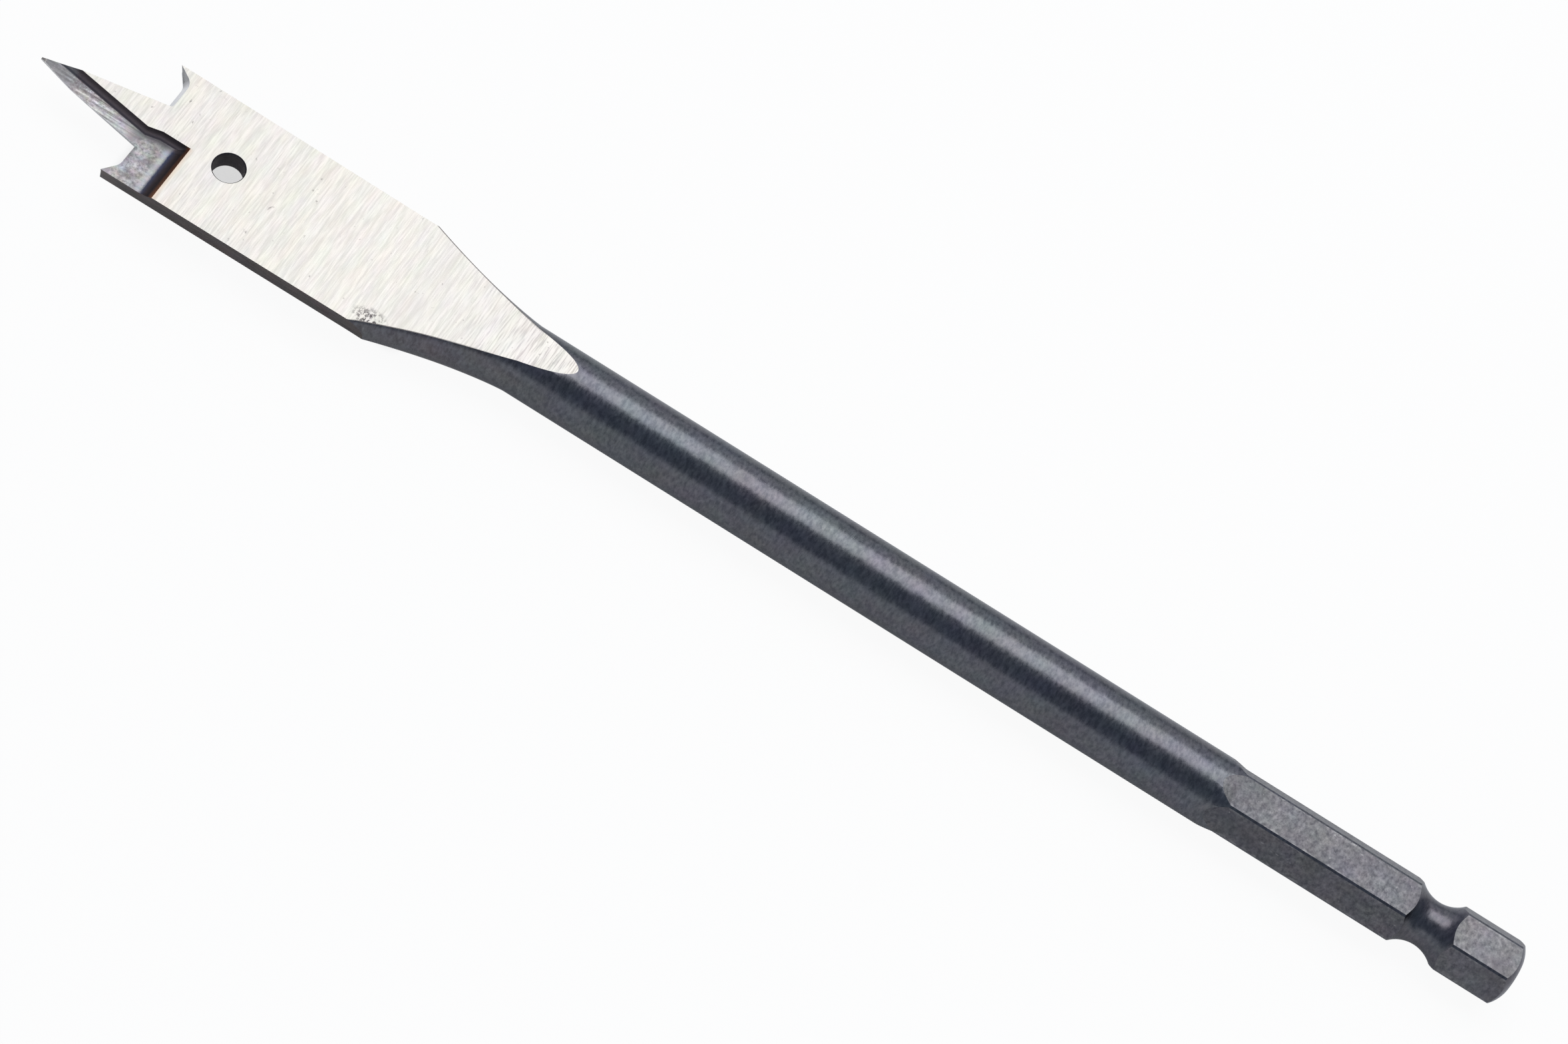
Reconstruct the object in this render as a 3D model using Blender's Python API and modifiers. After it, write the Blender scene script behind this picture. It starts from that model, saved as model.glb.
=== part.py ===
"""Spade drill bit for wood: 9/16 in cut, 6 1/2 in long, with a 1/4 in hexagonal quick-change shank.

One piece of steel, made here in the order in which the real one is made. A round bar is
forged flat at one end, and the forged blank is then machined: hexagon flats, locking groove
and end chamfer on the shank, ground faces and sides on the blade, relieved lips, spurs and
centre point at its end, a flute behind each lip, and a pull hole.

Lengths are in metres. The bit is modelled about its own axis, with the shank end at X = 0,
the point towards +X and the blade's front face towards +Z. An empty then carries it to where
it lies on a flat surface: on its round shank, with the blade level.
"""

import math

import bmesh
import bpy
from mathutils import Matrix, Vector

# Overall and shank
OVERALL_LENGTH = 0.1651
SHANK_DIAMETER = 0.0072
HEX_ACROSS_FLATS = 0.00635
HEX_LENGTH = 0.0329
HEX_RUN_OUT_ANGLE = math.radians(28)
GROOVE_FROM_END = 0.00945
GROOVE_WIDTH = 0.0052
GROOVE_CORE_DIAMETER = 0.0047
END_FACE_DIAMETER = 0.0044
END_ROUND_LENGTH = 0.0009
END_ROUND_BULGE = 0.0001

# Forged blank
FORGED_WIDTH = 0.0154
FORGED_THICKNESS = 0.0055
FORGED_SIDE_POWER = 4.0
FORGED_SQUARING_POWER = 8.0
FORGING_TURN = math.radians(6.4)
SHOULDER_FROM_POINT = 0.0385
TAPER_LENGTH = 0.0160
TAPER_POWER = 1.5
TAPER_FULLNESS = 0.5
TAPER_FULLNESS_POWER = 4.0

# Ground blade
BLADE_WIDTH = 0.0144
BLADE_THICKNESS = 0.0024
SIDE_RELIEF_ANGLE = math.radians(7)
SIDE_TAPER_ANGLE = math.radians(0.25)
GROUND_RAMP_FROM_POINT = 0.0385
GROUND_END_FROM_POINT = 0.0597
GROUND_BLEND_LENGTH = 0.0050

# Centre point
POINT_FLAT = 0.00018
POINT_FACET_LENGTH = 0.0041
POINT_FACET_HALF_WIDTH = 0.00138
POINT_ROOT_HALF_WIDTH = 0.0028
POINT_RELIEF_AT_FACET = 0.0008
POINT_RELIEF_AT_ROOT = 0.0004

# Lips and spurs
LIP_FROM_POINT = 0.0125
LIP_RELIEF = 0.0007
SPUR_FROM_POINT = 0.0113
SPUR_ANGLE = math.radians(36)
SPUR_RELIEVED_ANGLE = math.radians(57)
SPUR_FILLET = 0.0014
ROOT_FILLET = 0.0004

# Flutes
FLUTE_END_FROM_POINT = 0.01705
FLUTE_END_RUN = 0.0018
FLUTE_WALL_RUN = 0.0006
FLUTE_DEPTH = 0.0010
FLUTE_RISE_PER_LENGTH = 0.055
FLUTE_WALL_AT_FACET = -0.0006
FLUTE_WALL_AT_LIP = 0.0008
FLUTE_WALL_BEND_FROM_LIP = 0.0015
FLUTE_WALL_OFFSET = 0.00042
FLUTE_WALL_ANGLE = math.radians(65)

# Pull hole
HOLE_DIAMETER = 0.0032
HOLE_FROM_POINT = 0.0211
HOLE_CHAMFER = 0.0001

# Fineness of the curved surfaces, and how far the cutters reach past the steel
AROUND = 64
TAPER_STATIONS = 22
ARC_STEPS = 6
OVERSHOOT = 0.0010

SHANK_RADIUS = SHANK_DIAMETER / 2
HALF_WIDTH = BLADE_WIDTH / 2
HALF_THICKNESS = BLADE_THICKNESS / 2
SIDE_RELIEF = BLADE_THICKNESS * math.tan(SIDE_RELIEF_ANGLE)
REACH = max(FORGED_WIDTH, BLADE_WIDTH) / 2 + OVERSHOOT

# The shank lies on one facet of its surface, and the blade is level above it.
REST_HEIGHT = SHANK_RADIUS * math.cos(math.pi / AROUND)


def from_point(distance):
    """Station on the bit's axis at this distance back from the point."""
    return OVERALL_LENGTH - distance


def clear_scene():
    for obj in list(bpy.data.objects):
        bpy.data.objects.remove(obj, do_unlink=True)


def new_collection(name):
    collection = bpy.data.collections.new(name)
    bpy.context.scene.collection.children.link(collection)
    return collection


def steel(name, colour, roughness, metallic):
    """Principled material of one finish."""
    material = bpy.data.materials.new(name)
    material.use_nodes = True
    shader = material.node_tree.nodes["Principled BSDF"]
    shader.inputs["Base Color"].default_value = (*colour, 1.0)
    shader.inputs["Roughness"].default_value = roughness
    shader.inputs["Metallic"].default_value = metallic
    return material


def mesh_object(name, bm, collection, material):
    """Object of a bmesh whose normals are made to face outwards."""
    bmesh.ops.recalc_face_normals(bm, faces=bm.faces)
    mesh = bpy.data.meshes.new(name)
    bm.to_mesh(mesh)
    bm.free()
    mesh.materials.append(material)
    obj = bpy.data.objects.new(name, mesh)
    collection.objects.link(obj)
    return obj


def loft(name, rings, collection, material):
    """Closed skin over rings that have the same number of points, capped at both ends."""
    bm = bmesh.new()
    rows = [[bm.verts.new(point) for point in ring] for ring in rings]
    count = len(rows[0])
    for near, far in zip(rows, rows[1:]):
        for i in range(count):
            j = (i + 1) % count
            bm.faces.new((near[i], near[j], far[j], far[i]))
    bm.faces.new(rows[0])
    bm.faces.new(rows[-1])
    bmesh.ops.triangulate(bm, faces=[face for face in bm.faces if len(face.verts) > 3])
    return mesh_object(name, bm, collection, material)


def planed(name, outline, half_width, collection, material):
    """Outline in the XZ plane, swept across the bit from -half_width to +half_width."""
    bm = bmesh.new()
    near = bm.faces.new([bm.verts.new((x, -half_width, z)) for x, z in outline])
    swept = bmesh.ops.extrude_face_region(bm, geom=[near])["geom"]
    moved = [item for item in swept if isinstance(item, bmesh.types.BMVert)]
    bmesh.ops.translate(bm, verts=moved, vec=(0.0, 2 * half_width, 0.0))
    return mesh_object(name, bm, collection, material)


def turned(name, profile, axis, collection, material):
    """Closed profile of (radius, height) points turned about the Z axis, then laid along axis."""
    bm = bmesh.new()
    points = [bm.verts.new((radius, 0.0, height)) for radius, height in profile]
    for start, end in zip(points, points[1:]):
        bm.edges.new((start, end))
    if profile[0][0] > 0:
        bm.edges.new((points[-1], points[0]))
    mesh = bpy.data.meshes.new(name)
    bm.to_mesh(mesh)
    bm.free()
    mesh.materials.append(material)
    obj = bpy.data.objects.new(name, mesh)
    collection.objects.link(obj)
    screw = obj.modifiers.new("Turning", "SCREW")
    screw.steps = AROUND
    screw.render_steps = AROUND
    screw.use_merge_vertices = True
    screw.merge_threshold = 0.000001
    obj.rotation_euler = axis
    return obj


def arc(centre, radius, start, end, steps):
    """Points on a circle from one angle to another, both included."""
    angles = [start + (end - start) * i / steps for i in range(steps + 1)]
    return [(centre[0] + radius * math.cos(a), centre[1] + radius * math.sin(a)) for a in angles]


def fillet(before, corner, after, radius, steps):
    """Points of the round that replaces a corner between two straight lines."""
    corner = Vector(corner)
    back = (Vector(before) - corner).normalized()
    ahead = (Vector(after) - corner).normalized()
    half_angle = back.angle(ahead) / 2
    middle = corner + (back + ahead).normalized() * radius / math.sin(half_angle)
    first = corner + back * radius / math.tan(half_angle) - middle
    turn = first.angle_signed(corner + ahead * radius / math.tan(half_angle) - middle)
    return [tuple(middle + Matrix.Rotation(-turn * i / steps, 2) @ first) for i in range(steps + 1)]


def forged_section(station):
    """Ring of the forged blank: round on the shank, a flat paddle with round sides at the blade."""
    taper_start = from_point(SHOULDER_FROM_POINT + TAPER_LENGTH)
    spread = min(max((station - taper_start) / TAPER_LENGTH, 0.0), 1.0)
    flat = spread**TAPER_POWER
    half_width = SHANK_RADIUS + (FORGED_WIDTH / 2 - SHANK_RADIUS) * flat
    half_thickness = SHANK_RADIUS + (FORGED_THICKNESS / 2 - SHANK_RADIUS) * flat
    power = 2.0 + TAPER_FULLNESS * (1 - (1 - spread) ** TAPER_FULLNESS_POWER)
    power += (FORGED_SIDE_POWER - 2.0 - TAPER_FULLNESS) * spread**FORGED_SQUARING_POWER
    first = -math.pi / 2 + FORGING_TURN + math.pi / AROUND
    ring = []
    for i in range(AROUND):
        angle = first + 2 * math.pi * i / AROUND
        across, up = math.cos(angle), math.sin(angle)
        stretch = (abs(across) ** power + abs(up) ** power) ** (-1 / power)
        wide = half_width * stretch * across
        thick = half_thickness * stretch * up
        ring.append(
            (
                station,
                wide * math.cos(FORGING_TURN) + thick * math.sin(FORGING_TURN),
                thick * math.cos(FORGING_TURN) - wide * math.sin(FORGING_TURN),
            )
        )
    return ring


def forged_blank(collection, material):
    """Round bar that is forged into a flat paddle at the point end."""
    taper_start = from_point(SHOULDER_FROM_POINT + TAPER_LENGTH)
    stations = [0.0]
    stations += [taper_start + TAPER_LENGTH * i / TAPER_STATIONS for i in range(TAPER_STATIONS + 1)]
    stations += [OVERALL_LENGTH]
    return loft("spade_bit", [forged_section(x) for x in stations], collection, material)


def hex_flat_cutters(collection, material):
    """Six flats on the shank, each ramping out to the round bar."""
    flat_height = HEX_ACROSS_FLATS / 2
    top = SHANK_RADIUS + OVERSHOOT
    ramp = (top - flat_height) / math.tan(HEX_RUN_OUT_ANGLE)
    outline = [
        (-OVERSHOOT, flat_height),
        (HEX_LENGTH, flat_height),
        (HEX_LENGTH + ramp, top),
        (-OVERSHOOT, top),
    ]
    cutters = []
    for i in range(6):
        cutter = planed(f"hex_flat_{i + 1}", outline, SHANK_RADIUS + OVERSHOOT, collection, material)
        cutter.rotation_euler.x = math.radians(60 * i) - FORGING_TURN
        cutters.append(cutter)
    return cutters


def groove_cutter(collection, material):
    """Locking groove: a ring with a round nose, turned about the bit's axis."""
    core = GROOVE_CORE_DIAMETER / 2
    depth = SHANK_RADIUS - core
    nose = (depth**2 + (GROOVE_WIDTH / 2) ** 2) / (2 * depth)
    outer = SHANK_RADIUS + OVERSHOOT
    sweep = math.acos((core + nose - outer) / nose)
    rounded = arc(
        (core + nose, GROOVE_FROM_END), nose, math.pi + sweep, math.pi - sweep, 2 * ARC_STEPS
    )
    return turned("locking_groove", rounded, (0.0, math.radians(90), 0.0), collection, material)


def end_round_cutter(collection, material):
    """Ring that rounds the shank's end edge, from the flat end face out to the shank."""
    inner = END_FACE_DIAMETER / 2
    chord = Vector((SHANK_RADIUS - inner, END_ROUND_LENGTH))
    radius = ((chord.length / 2) ** 2 + END_ROUND_BULGE**2) / (2 * END_ROUND_BULGE)
    half_sweep = math.asin(chord.length / 2 / radius)
    inward = Vector((-chord.y, chord.x)).normalized()
    middle = Vector((inner, 0.0)) + chord / 2 + inward * (radius - END_ROUND_BULGE)
    facing = math.atan2(-inward.y, -inward.x)
    rounded = arc(middle, radius, facing - half_sweep, facing + half_sweep, ARC_STEPS)
    slope = (rounded[-1][1] - rounded[-2][1]) / (rounded[-1][0] - rounded[-2][0])
    profile = [
        (inner - OVERSHOOT, -OVERSHOOT),
        *rounded,
        (SHANK_RADIUS + OVERSHOOT, END_ROUND_LENGTH + slope * OVERSHOOT),
        (SHANK_RADIUS + OVERSHOOT, -OVERSHOOT),
    ]
    return turned("end_round", profile, (0.0, math.radians(90), 0.0), collection, material)


def ground_face_outline():
    """Profile over the front face: point facet, flat blade, and the ramp where the wheel runs out."""
    top = SHANK_RADIUS + 2 * OVERSHOOT
    ramp_start = from_point(GROUND_RAMP_FROM_POINT)
    ramp_length = GROUND_END_FROM_POINT - GROUND_RAMP_FROM_POINT
    slope = (SHANK_RADIUS - HALF_THICKNESS) / (ramp_length - GROUND_BLEND_LENGTH / 2)
    facet_slope = (HALF_THICKNESS - POINT_FLAT / 2) / POINT_FACET_LENGTH
    blend = []
    for i in range(ARC_STEPS + 1):
        along = GROUND_BLEND_LENGTH * i / ARC_STEPS
        rise = slope * along**2 / (2 * GROUND_BLEND_LENGTH)
        blend.append((ramp_start - along, HALF_THICKNESS + rise))
    past_end = (top - SHANK_RADIUS) / slope
    return [
        (OVERALL_LENGTH + OVERSHOOT, POINT_FLAT / 2 - facet_slope * OVERSHOOT),
        (from_point(POINT_FACET_LENGTH), HALF_THICKNESS),
        *blend,
        (from_point(GROUND_END_FROM_POINT) - past_end, top),
        (OVERALL_LENGTH + OVERSHOOT, top),
    ]


def side_cutter(collection, material):
    """Ground side of the blade, leaning in towards the back face and towards the shank."""
    outer = REACH + OVERSHOOT
    tall = FORGED_THICKNESS
    lean = math.tan(SIDE_RELIEF_ANGLE)

    def corners(station):
        behind_spur = from_point(SPUR_FROM_POINT) - station
        edge = HALF_WIDTH - behind_spur * math.tan(SIDE_TAPER_ANGLE)
        return [
            (station, edge + (tall - HALF_THICKNESS) * lean, tall),
            (station, outer, tall),
            (station, outer, -tall),
            (station, edge - (tall + HALF_THICKNESS) * lean, -tall),
        ]

    start = from_point(SHOULDER_FROM_POINT + TAPER_LENGTH)
    rings = [corners(start), corners(OVERALL_LENGTH + OVERSHOOT)]
    return loft("blade_side", rings, collection, material)


def notch_outline(relief, side, spur_angle, facet_half_width, root_half_width):
    """Outline between the centre point and one spur: point, root fillet, lip, spur fillet, spur."""
    lip = from_point(LIP_FROM_POINT + relief)
    point = (OVERALL_LENGTH, POINT_FLAT / 2)
    facet = (from_point(POINT_FACET_LENGTH), facet_half_width)
    root = (lip, root_half_width)
    spur_tip = (from_point(SPUR_FROM_POINT), side)
    spur_foot = (lip, side - (spur_tip[0] - lip) / math.tan(spur_angle))
    past = (spur_tip[0] + OVERSHOOT * math.tan(spur_angle), side + OVERSHOOT)
    return [
        (OVERALL_LENGTH + OVERSHOOT, point[1]),
        point,
        facet,
        *fillet(facet, root, spur_foot, ROOT_FILLET, ARC_STEPS),
        *fillet(root, spur_foot, spur_tip, SPUR_FILLET, ARC_STEPS),
        spur_tip,
        past,
        (OVERALL_LENGTH + OVERSHOOT, past[1]),
    ]


def notch_cutter(collection, material):
    """Notch between the point and the +Y spur.

    Its outline is upright down to the flute's floor, where the cutting edge is, and falls back
    from there to the back face, which gives the lip, the point and the spur their relief.
    """
    cutting = notch_outline(
        0.0, HALF_WIDTH, SPUR_ANGLE, POINT_FACET_HALF_WIDTH, POINT_ROOT_HALF_WIDTH
    )
    relieved = notch_outline(
        LIP_RELIEF,
        HALF_WIDTH - SIDE_RELIEF,
        SPUR_RELIEVED_ANGLE,
        POINT_FACET_HALF_WIDTH - POINT_RELIEF_AT_FACET,
        POINT_ROOT_HALF_WIDTH - POINT_RELIEF_AT_ROOT,
    )
    high = FORGED_THICKNESS
    levels = (
        (high, cutting),
        (HALF_THICKNESS - FLUTE_DEPTH, cutting),
        (-HALF_THICKNESS, relieved),
        (-high, relieved),
    )
    rings = [[(x, y, z) for x, y in outline] for z, outline in levels]
    return loft("lip_notch", rings, collection, material)


def flute_cutter(collection, material):
    """Flute on the front face that hooks the +Y lip and thins the point beside it.

    The wheel leaves a floor that rises towards the blade's side, and a hollow wall at its
    inner side and behind the lip.
    """
    past_tip = OVERALL_LENGTH + OVERSHOOT
    wall_start = from_point(POINT_FACET_LENGTH)
    wall_turn = from_point(LIP_FROM_POINT)
    lean = (FLUTE_WALL_AT_LIP - FLUTE_WALL_AT_FACET) / (wall_start - wall_turn)
    tip_offset = FLUTE_WALL_AT_FACET - lean * (past_tip - wall_start)
    end = from_point(FLUTE_END_FROM_POINT)
    side = REACH
    face = [
        (past_tip, tip_offset),
        (wall_turn, FLUTE_WALL_AT_LIP),
        (wall_turn - FLUTE_WALL_BEND_FROM_LIP, FLUTE_WALL_OFFSET),
        (end, FLUTE_WALL_OFFSET),
        (end, side),
        (past_tip, side),
    ]
    runs = [
        (0.0, FLUTE_WALL_RUN),
        (0.0, FLUTE_WALL_RUN),
        (0.0, FLUTE_WALL_RUN),
        (FLUTE_END_RUN, FLUTE_WALL_RUN),
        (FLUTE_END_RUN, 0.0),
        (0.0, 0.0),
    ]

    def level(angle, above):
        out = math.sin(angle) / math.sin(FLUTE_WALL_ANGLE)
        up = (1 - math.cos(angle)) / (1 - math.cos(FLUTE_WALL_ANGLE))
        ring = []
        for (x, y), (run_x, run_y) in zip(face, runs):
            y_here = y + run_y * (1 - out)
            floor = FLUTE_DEPTH - FLUTE_RISE_PER_LENGTH * max(y_here, 0.0)
            z = HALF_THICKNESS - floor * (1 - up) + above
            ring.append((x + run_x * (1 - out), y_here, z))
        return ring

    rings = [level(FLUTE_WALL_ANGLE * i / ARC_STEPS, 0.0) for i in range(ARC_STEPS + 1)]
    rings.append(level(FLUTE_WALL_ANGLE, FORGED_THICKNESS))
    return loft("flute", rings, collection, material)


def pull_hole_cutter(collection, material):
    """Hole through the blade, with its edges broken."""
    radius = HOLE_DIAMETER / 2
    high = FORGED_THICKNESS
    wide = radius + HOLE_CHAMFER
    profile = [
        (0.0, high),
        (wide, high),
        (wide, HALF_THICKNESS),
        (radius, HALF_THICKNESS - HOLE_CHAMFER),
        (radius, -HALF_THICKNESS + HOLE_CHAMFER),
        (wide, -HALF_THICKNESS),
        (wide, -high),
        (0.0, -high),
    ]
    cutter = turned("pull_hole", profile, (0.0, 0.0, 0.0), collection, material)
    cutter.location.x = from_point(HOLE_FROM_POINT)
    return cutter


def half_turned(obj, collection):
    """Copy of a cutter, turned half round the bit's axis for the other face and lip."""
    copy = bpy.data.objects.new(obj.name + "_opposite", obj.data)
    copy.rotation_euler.x = math.pi
    collection.objects.link(copy)
    return copy


def cut(body, cutter):
    """Takes a cutter's shape out of the body, whose new faces get the cutter's finish."""
    modifier = body.modifiers.new(cutter.name, "BOOLEAN")
    modifier.object = cutter
    modifier.operation = "DIFFERENCE"
    modifier.solver = "EXACT"
    modifier.material_mode = "TRANSFER"
    cutter.hide_render = True
    cutter.display_type = "WIRE"


def build():
    clear_scene()
    parts = new_collection("Spade drill bit")
    tools = new_collection("Cutters")
    oxide = steel("black_oxide_steel", (0.075, 0.080, 0.105), 0.38, 0.9)
    ground = steel("ground_steel", (0.72, 0.71, 0.68), 0.35, 1.0)
    edge = steel("burnt_edge_steel", (0.10, 0.085, 0.08), 0.45, 0.9)

    bit = forged_blank(parts, oxide)
    face = planed("ground_face", ground_face_outline(), REACH, tools, ground)
    side = side_cutter(tools, edge)
    notch = notch_cutter(tools, ground)
    flute = flute_cutter(tools, ground)
    cutters = [
        *hex_flat_cutters(tools, oxide),
        groove_cutter(tools, oxide),
        end_round_cutter(tools, oxide),
    ]
    for tool in (face, side, notch, flute):
        cutters += [tool, half_turned(tool, tools)]
    cutters.append(pull_hole_cutter(tools, edge))
    for cutter in cutters:
        cut(bit, cutter)

    rest = bpy.data.objects.new("rest_pose", None)
    rest.location = (-OVERALL_LENGTH / 2, 0.0, REST_HEIGHT)
    parts.objects.link(rest)
    for obj in (bit, *cutters):
        obj.parent = rest
    bit.data.shade_smooth()
    bit.data.set_sharp_from_angle(angle=math.radians(25))


build()
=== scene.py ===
"""Dresses a spade drill bit for wood: one ground and blackened piece of steel on a white sheet.

The bit is made about its own axis, with the shank end at X = 0 and the point towards +X, in the
order in which the real one is made: a round bar is forged flat at one end, then the drive end,
the blade, the lips and the flutes are cut. The finished mesh is laid down as the bit rests, on
its round shank with the blade level. Lengths are in metres.
"""

import logging
import math
from abc import ABC, abstractmethod
from dataclasses import dataclass
from enum import Enum
from functools import cached_property
from typing import Sequence

import bmesh
import bpy
from mathutils import Matrix, Vector


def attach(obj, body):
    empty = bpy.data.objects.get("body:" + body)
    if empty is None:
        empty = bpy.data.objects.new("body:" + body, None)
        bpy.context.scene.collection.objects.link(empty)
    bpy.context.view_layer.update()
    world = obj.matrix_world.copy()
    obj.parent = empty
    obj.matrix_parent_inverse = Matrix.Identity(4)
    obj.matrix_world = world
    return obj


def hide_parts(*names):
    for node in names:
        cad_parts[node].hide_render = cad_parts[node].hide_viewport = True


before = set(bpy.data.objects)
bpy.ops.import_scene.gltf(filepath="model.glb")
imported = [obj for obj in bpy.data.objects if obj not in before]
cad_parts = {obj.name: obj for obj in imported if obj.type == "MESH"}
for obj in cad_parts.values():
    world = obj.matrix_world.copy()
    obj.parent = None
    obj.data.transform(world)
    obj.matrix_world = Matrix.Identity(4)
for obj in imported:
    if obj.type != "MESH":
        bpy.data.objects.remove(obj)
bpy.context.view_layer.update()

LOG = logging.getLogger("spade_bit")

Point2 = tuple[float, float]
Point3 = tuple[float, float, float]
Colour = tuple[float, float, float]
Mesh = bpy.types.Mesh
Object = bpy.types.Object
Socket = bpy.types.NodeSocket

NODE = "spade_bit"
BODY = "root"
FLATS = 6


class Finish(Enum):
    """Finishes of the bit's surfaces; each value is the material's name."""

    GROUND = "ground_steel"
    SIDE = "scaled_side_steel"
    FLUTE = "fluted_steel"
    RELIEF = "relieved_steel"
    BORE = "punched_hole_steel"
    OXIDE = "black_oxide_shank"
    FLAT = "black_oxide_flats"
    GROOVE = "black_oxide_groove"


@dataclass(frozen=True)
class Fineness:
    """How finely the curved surfaces are divided."""

    around: int = 128
    taper_stations: int = 72
    shank_pitch: float = 0.0015
    arc_steps: int = 14
    overshoot: float = 0.0010


@dataclass(frozen=True)
class RestPose:
    """Where the bit lies: half its length is on each side, and its axis is above the sheet."""

    length: float
    height: float = 0.0035956636

    def place(self) -> Vector:
        """Place of the shank end's centre in the world."""
        return Vector((-self.length / 2, 0.0, self.height))


def skin(rings: Sequence[Sequence[Point3]], closed: bool = False) -> Mesh:
    """Makes a closed mesh over rings that have the same number of points.

    Args:
        rings: Rings of points, in order along the skin.
        closed: Whether the last ring is joined to the first instead of being capped.

    Returns:
        The mesh, with its faces pointing outwards.
    """
    bm = bmesh.new()
    rows = [[bm.verts.new(point) for point in ring] for ring in rings]
    count = len(rows[0])
    for near, far in zip(rows, rows[1:] + (rows[:1] if closed else [])):
        for i in range(count):
            j = (i + 1) % count
            bm.faces.new((near[i], near[j], far[j], far[i]))
    if not closed:
        bm.faces.new(rows[0])
        bm.faces.new(rows[-1])
    bmesh.ops.triangulate(bm, faces=[face for face in bm.faces if len(face.verts) > 4])
    bmesh.ops.recalc_face_normals(bm, faces=bm.faces)
    mesh = bpy.data.meshes.new("skin")
    bm.to_mesh(mesh)
    bm.free()
    return mesh


def angles(count: int) -> list[float]:
    """Returns evenly spaced angles of one whole turn."""
    return [2 * math.pi * i / count for i in range(count)]


def swept(outline: Sequence[Point2], half_width: float) -> Mesh:
    """Returns the mesh of an outline (x, z) that is swept across the bit to both sides."""
    return skin([[(x, y, z) for x, z in outline] for y in (-half_width, half_width)])


def turned(profile: Sequence[Point2], steps: int) -> Mesh:
    """Turns a closed profile about the bit's axis.

    Args:
        profile: Points (x, radius) of the profile, all off the axis.
        steps: Number of divisions around.

    Returns:
        The closed ring as a mesh.
    """
    rings = []
    for angle in angles(steps):
        rings.append([(x, r * math.cos(angle), r * math.sin(angle)) for x, r in profile])
    return skin(rings, closed=True)


def fillet(before: Point2, corner: Point2, after: Point2, radius: float, steps: int) -> list[Point2]:
    """Rounds the corner between two straight lines.

    Args:
        before: A point on the line that reaches the corner.
        corner: The corner.
        after: A point on the line that leaves the corner.
        radius: Radius of the round.
        steps: Number of chords in the round.

    Returns:
        The points of the round, from the first line to the second.
    """
    turn_at = Vector(corner)
    back = (Vector(before) - turn_at).normalized()
    ahead = (Vector(after) - turn_at).normalized()
    half_angle = back.angle(ahead) / 2
    middle = turn_at + (back + ahead).normalized() * radius / math.sin(half_angle)
    first = turn_at + back * radius / math.tan(half_angle) - middle
    turn = first.angle_signed(turn_at + ahead * radius / math.tan(half_angle) - middle)
    return [tuple(middle + Matrix.Rotation(-turn * i / steps, 2) @ first) for i in range(steps + 1)]


class Nodes:
    """Short way to write a node tree."""

    def __init__(self, tree: bpy.types.NodeTree) -> None:
        """Holds the tree that the nodes go into."""
        self.tree = tree

    def add(self, kind: str, **values: object) -> bpy.types.Node:
        """Adds a node, with values for its properties and its inputs.

        Args:
            kind: The node's type.
            values: Values by name. A capital starts an input's name, with _ for a space.

        Returns:
            The node.
        """
        node = self.tree.nodes.new(kind)
        self.fill(node, **values)
        return node

    def put(self, socket: Socket, value: object) -> None:
        """Links a socket to an input, or sets the input to a plain value.

        Args:
            socket: The input.
            value: A node's output, a number, a vector or a colour.
        """
        if isinstance(value, Socket):
            self.tree.links.new(value, socket)
        elif socket.type == "RGBA":
            socket.default_value = (*value, 1.0)
        else:
            socket.default_value = value

    def fill(self, node: bpy.types.Node, **values: object) -> None:
        """Gives a node its values, by the names that add() takes."""
        for name, value in values.items():
            if name[0].isupper():
                self.put(node.inputs[name.replace("_", " ")], value)
            else:
                setattr(node, name, value)

    def math(self, operation: str, *values: object) -> Socket:
        """Adds a Math node.

        Args:
            operation: The node's operation.
            values: Its inputs, each a socket or a number.

        Returns:
            The node's output.
        """
        node = self.add("ShaderNodeMath", operation=operation)
        for socket, value in zip(node.inputs, values):
            self.put(socket, value)
        return node.outputs[0]

    def product(self, first: object, second: object) -> Socket:
        """Returns the product of two values."""
        return self.math("MULTIPLY", first, second)

    def span(
        self,
        value: object,
        low: float,
        high: float,
        to_low: float = 0.0,
        to_high: float = 1.0,
        way: str = "LINEAR",
    ) -> Socket:
        """Adds a Map Range node that is clamped at both ends.

        Args:
            value: The value that it maps.
            low: Start of the range that it reads.
            high: End of that range.
            to_low: What the start becomes.
            to_high: What the end becomes.
            way: How the node interpolates.

        Returns:
            The mapped value.
        """
        ends = {"From_Min": low, "From_Max": high, "To_Min": to_low, "To_Max": to_high}
        return self.add("ShaderNodeMapRange", interpolation_type=way, Value=value, **ends).outputs[0]

    def shade(self, kind: str, colour: Colour) -> Socket:
        """Returns the output of a new shader of this kind and colour."""
        return self.add(kind, Color=colour).outputs[0]

    def mixed(self, *values: object) -> Socket:
        """Mixes two shaders.

        Args:
            values: Share of the second shader, then the two shaders.

        Returns:
            The mixed shader.
        """
        node = self.add("ShaderNodeMixShader")
        for socket, value in zip(node.inputs, values):
            self.put(socket, value)
        return node.outputs[0]


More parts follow.
